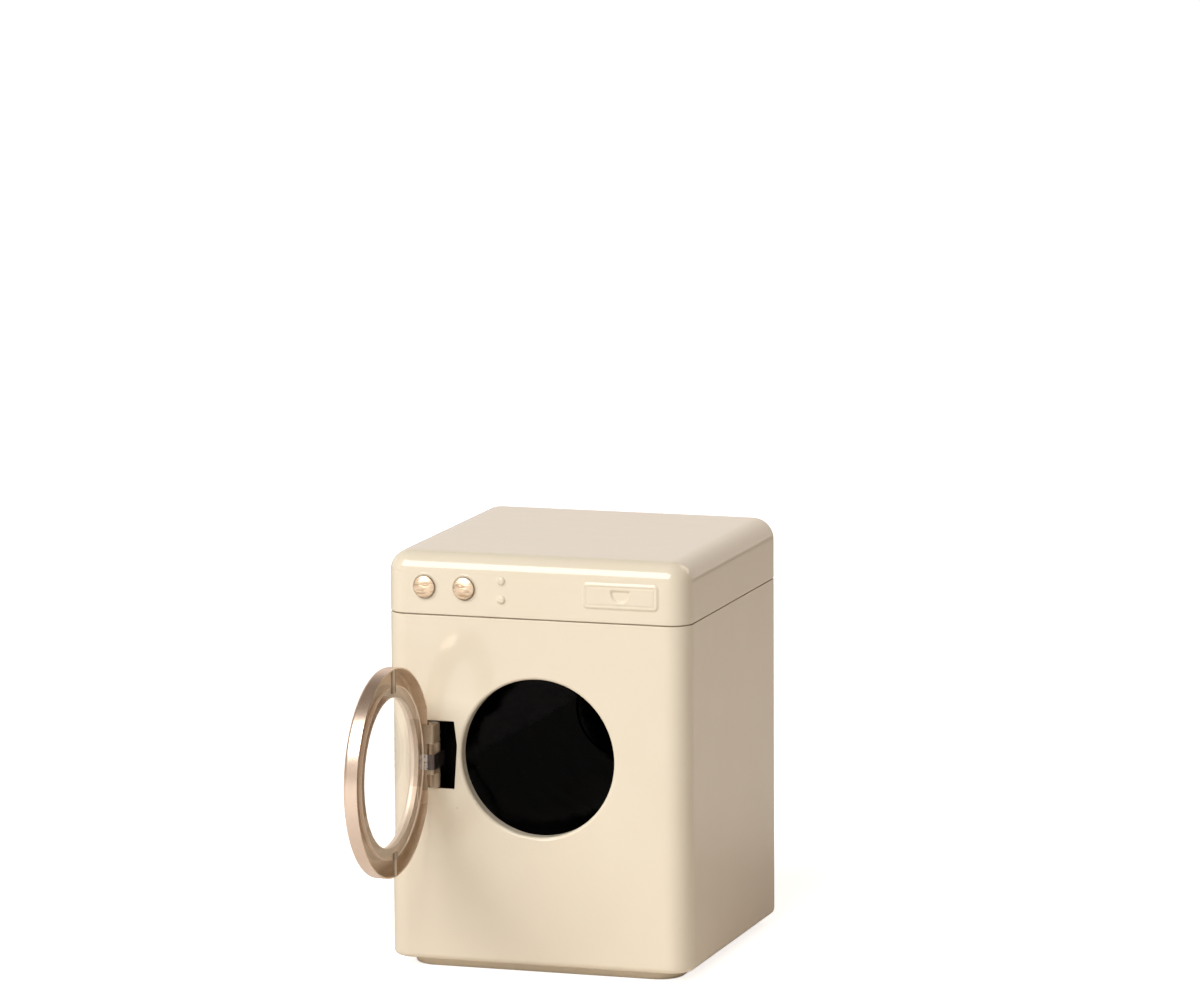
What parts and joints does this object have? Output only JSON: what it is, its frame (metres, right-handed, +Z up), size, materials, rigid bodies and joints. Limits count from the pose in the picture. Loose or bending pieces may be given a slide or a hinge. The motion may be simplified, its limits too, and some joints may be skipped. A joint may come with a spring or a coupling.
{
  "type": "toy washing machine",
  "caption": "Toy front-loading washing machine: enamelled sheet cabinet with a pressed lid, plated round door on a rolled hinge, turning drum and knobs.",
  "frame": {"origin": "on the floor under the middle of the cabinet, at the base mount", "axes": "+Z up, -Y out of the front panel, +X to the right of someone facing the front"},
  "size_m": [0.095, 0.1615, 0.1274],
  "materials": {
    "cream_enamel": "gloss enamel",
    "cream_enamel_lid": "gloss enamel",
    "cream_enamel_base": "gloss enamel",
    "plated_door": "polished champagne plating",
    "plated_hinge": "satin champagne plating",
    "plated_knob": "hammered champagne plating",
    "clear_window": "clear plastic sheet",
    "dark_spring_steel": "dark oiled",
    "steel_pin": "bright drawn",
    "brass_bush": "turned",
    "black_enamel": "gloss black enamel"
  },
  "bodies": {
    "cabinet": {"body_shell": "cream_enamel", "top_lid": "cream_enamel_lid", "base_pan": "cream_enamel_base", "hinge_bracket": "plated_hinge", "hinge_pin": "steel_pin", "drum_spindle": "steel_pin", "spindle_washers": "steel_pin", "spindle_spacer": "steel_pin", "spindle_backing": "steel_pin"},
    "door": {"door_ring": "plated_door", "door_window": "clear_window", "door_hinge_leaf": "plated_hinge", "hinge_strap": "dark_spring_steel"},
    "drum": {"drum_barrel": "black_enamel", "drum_end": "black_enamel", "drum_bush": "brass_bush"},
    "left_knob": {"knob_left": "plated_knob", "knob_left_retainer": "steel_pin"},
    "right_knob": {"knob_right": "plated_knob", "knob_right_retainer": "steel_pin"}
  },
  "joints": [
    {"name": "door_hinge", "type": "hinge", "parent": "cabinet", "child": "door", "pos_m": [-0.032, -0.0481, 0.066], "axis": [0, 0, 1], "range_deg": [-18, 91.3]},
    {"name": "drum_spin", "type": "hinge", "parent": "cabinet", "child": "drum", "pos_m": [0.0004, 0, 0.0664], "axis": [0, 1, 0], "continuous": true},
    {"name": "left_knob_turn", "type": "hinge", "parent": "cabinet", "child": "left_knob", "pos_m": [-0.0347, -0.04825, 0.1172], "axis": [0, 1, 0], "continuous": true},
    {"name": "right_knob_turn", "type": "hinge", "parent": "cabinet", "child": "right_knob", "pos_m": [-0.0222, -0.04825, 0.1172], "axis": [0, 1, 0], "continuous": true}
  ]
}
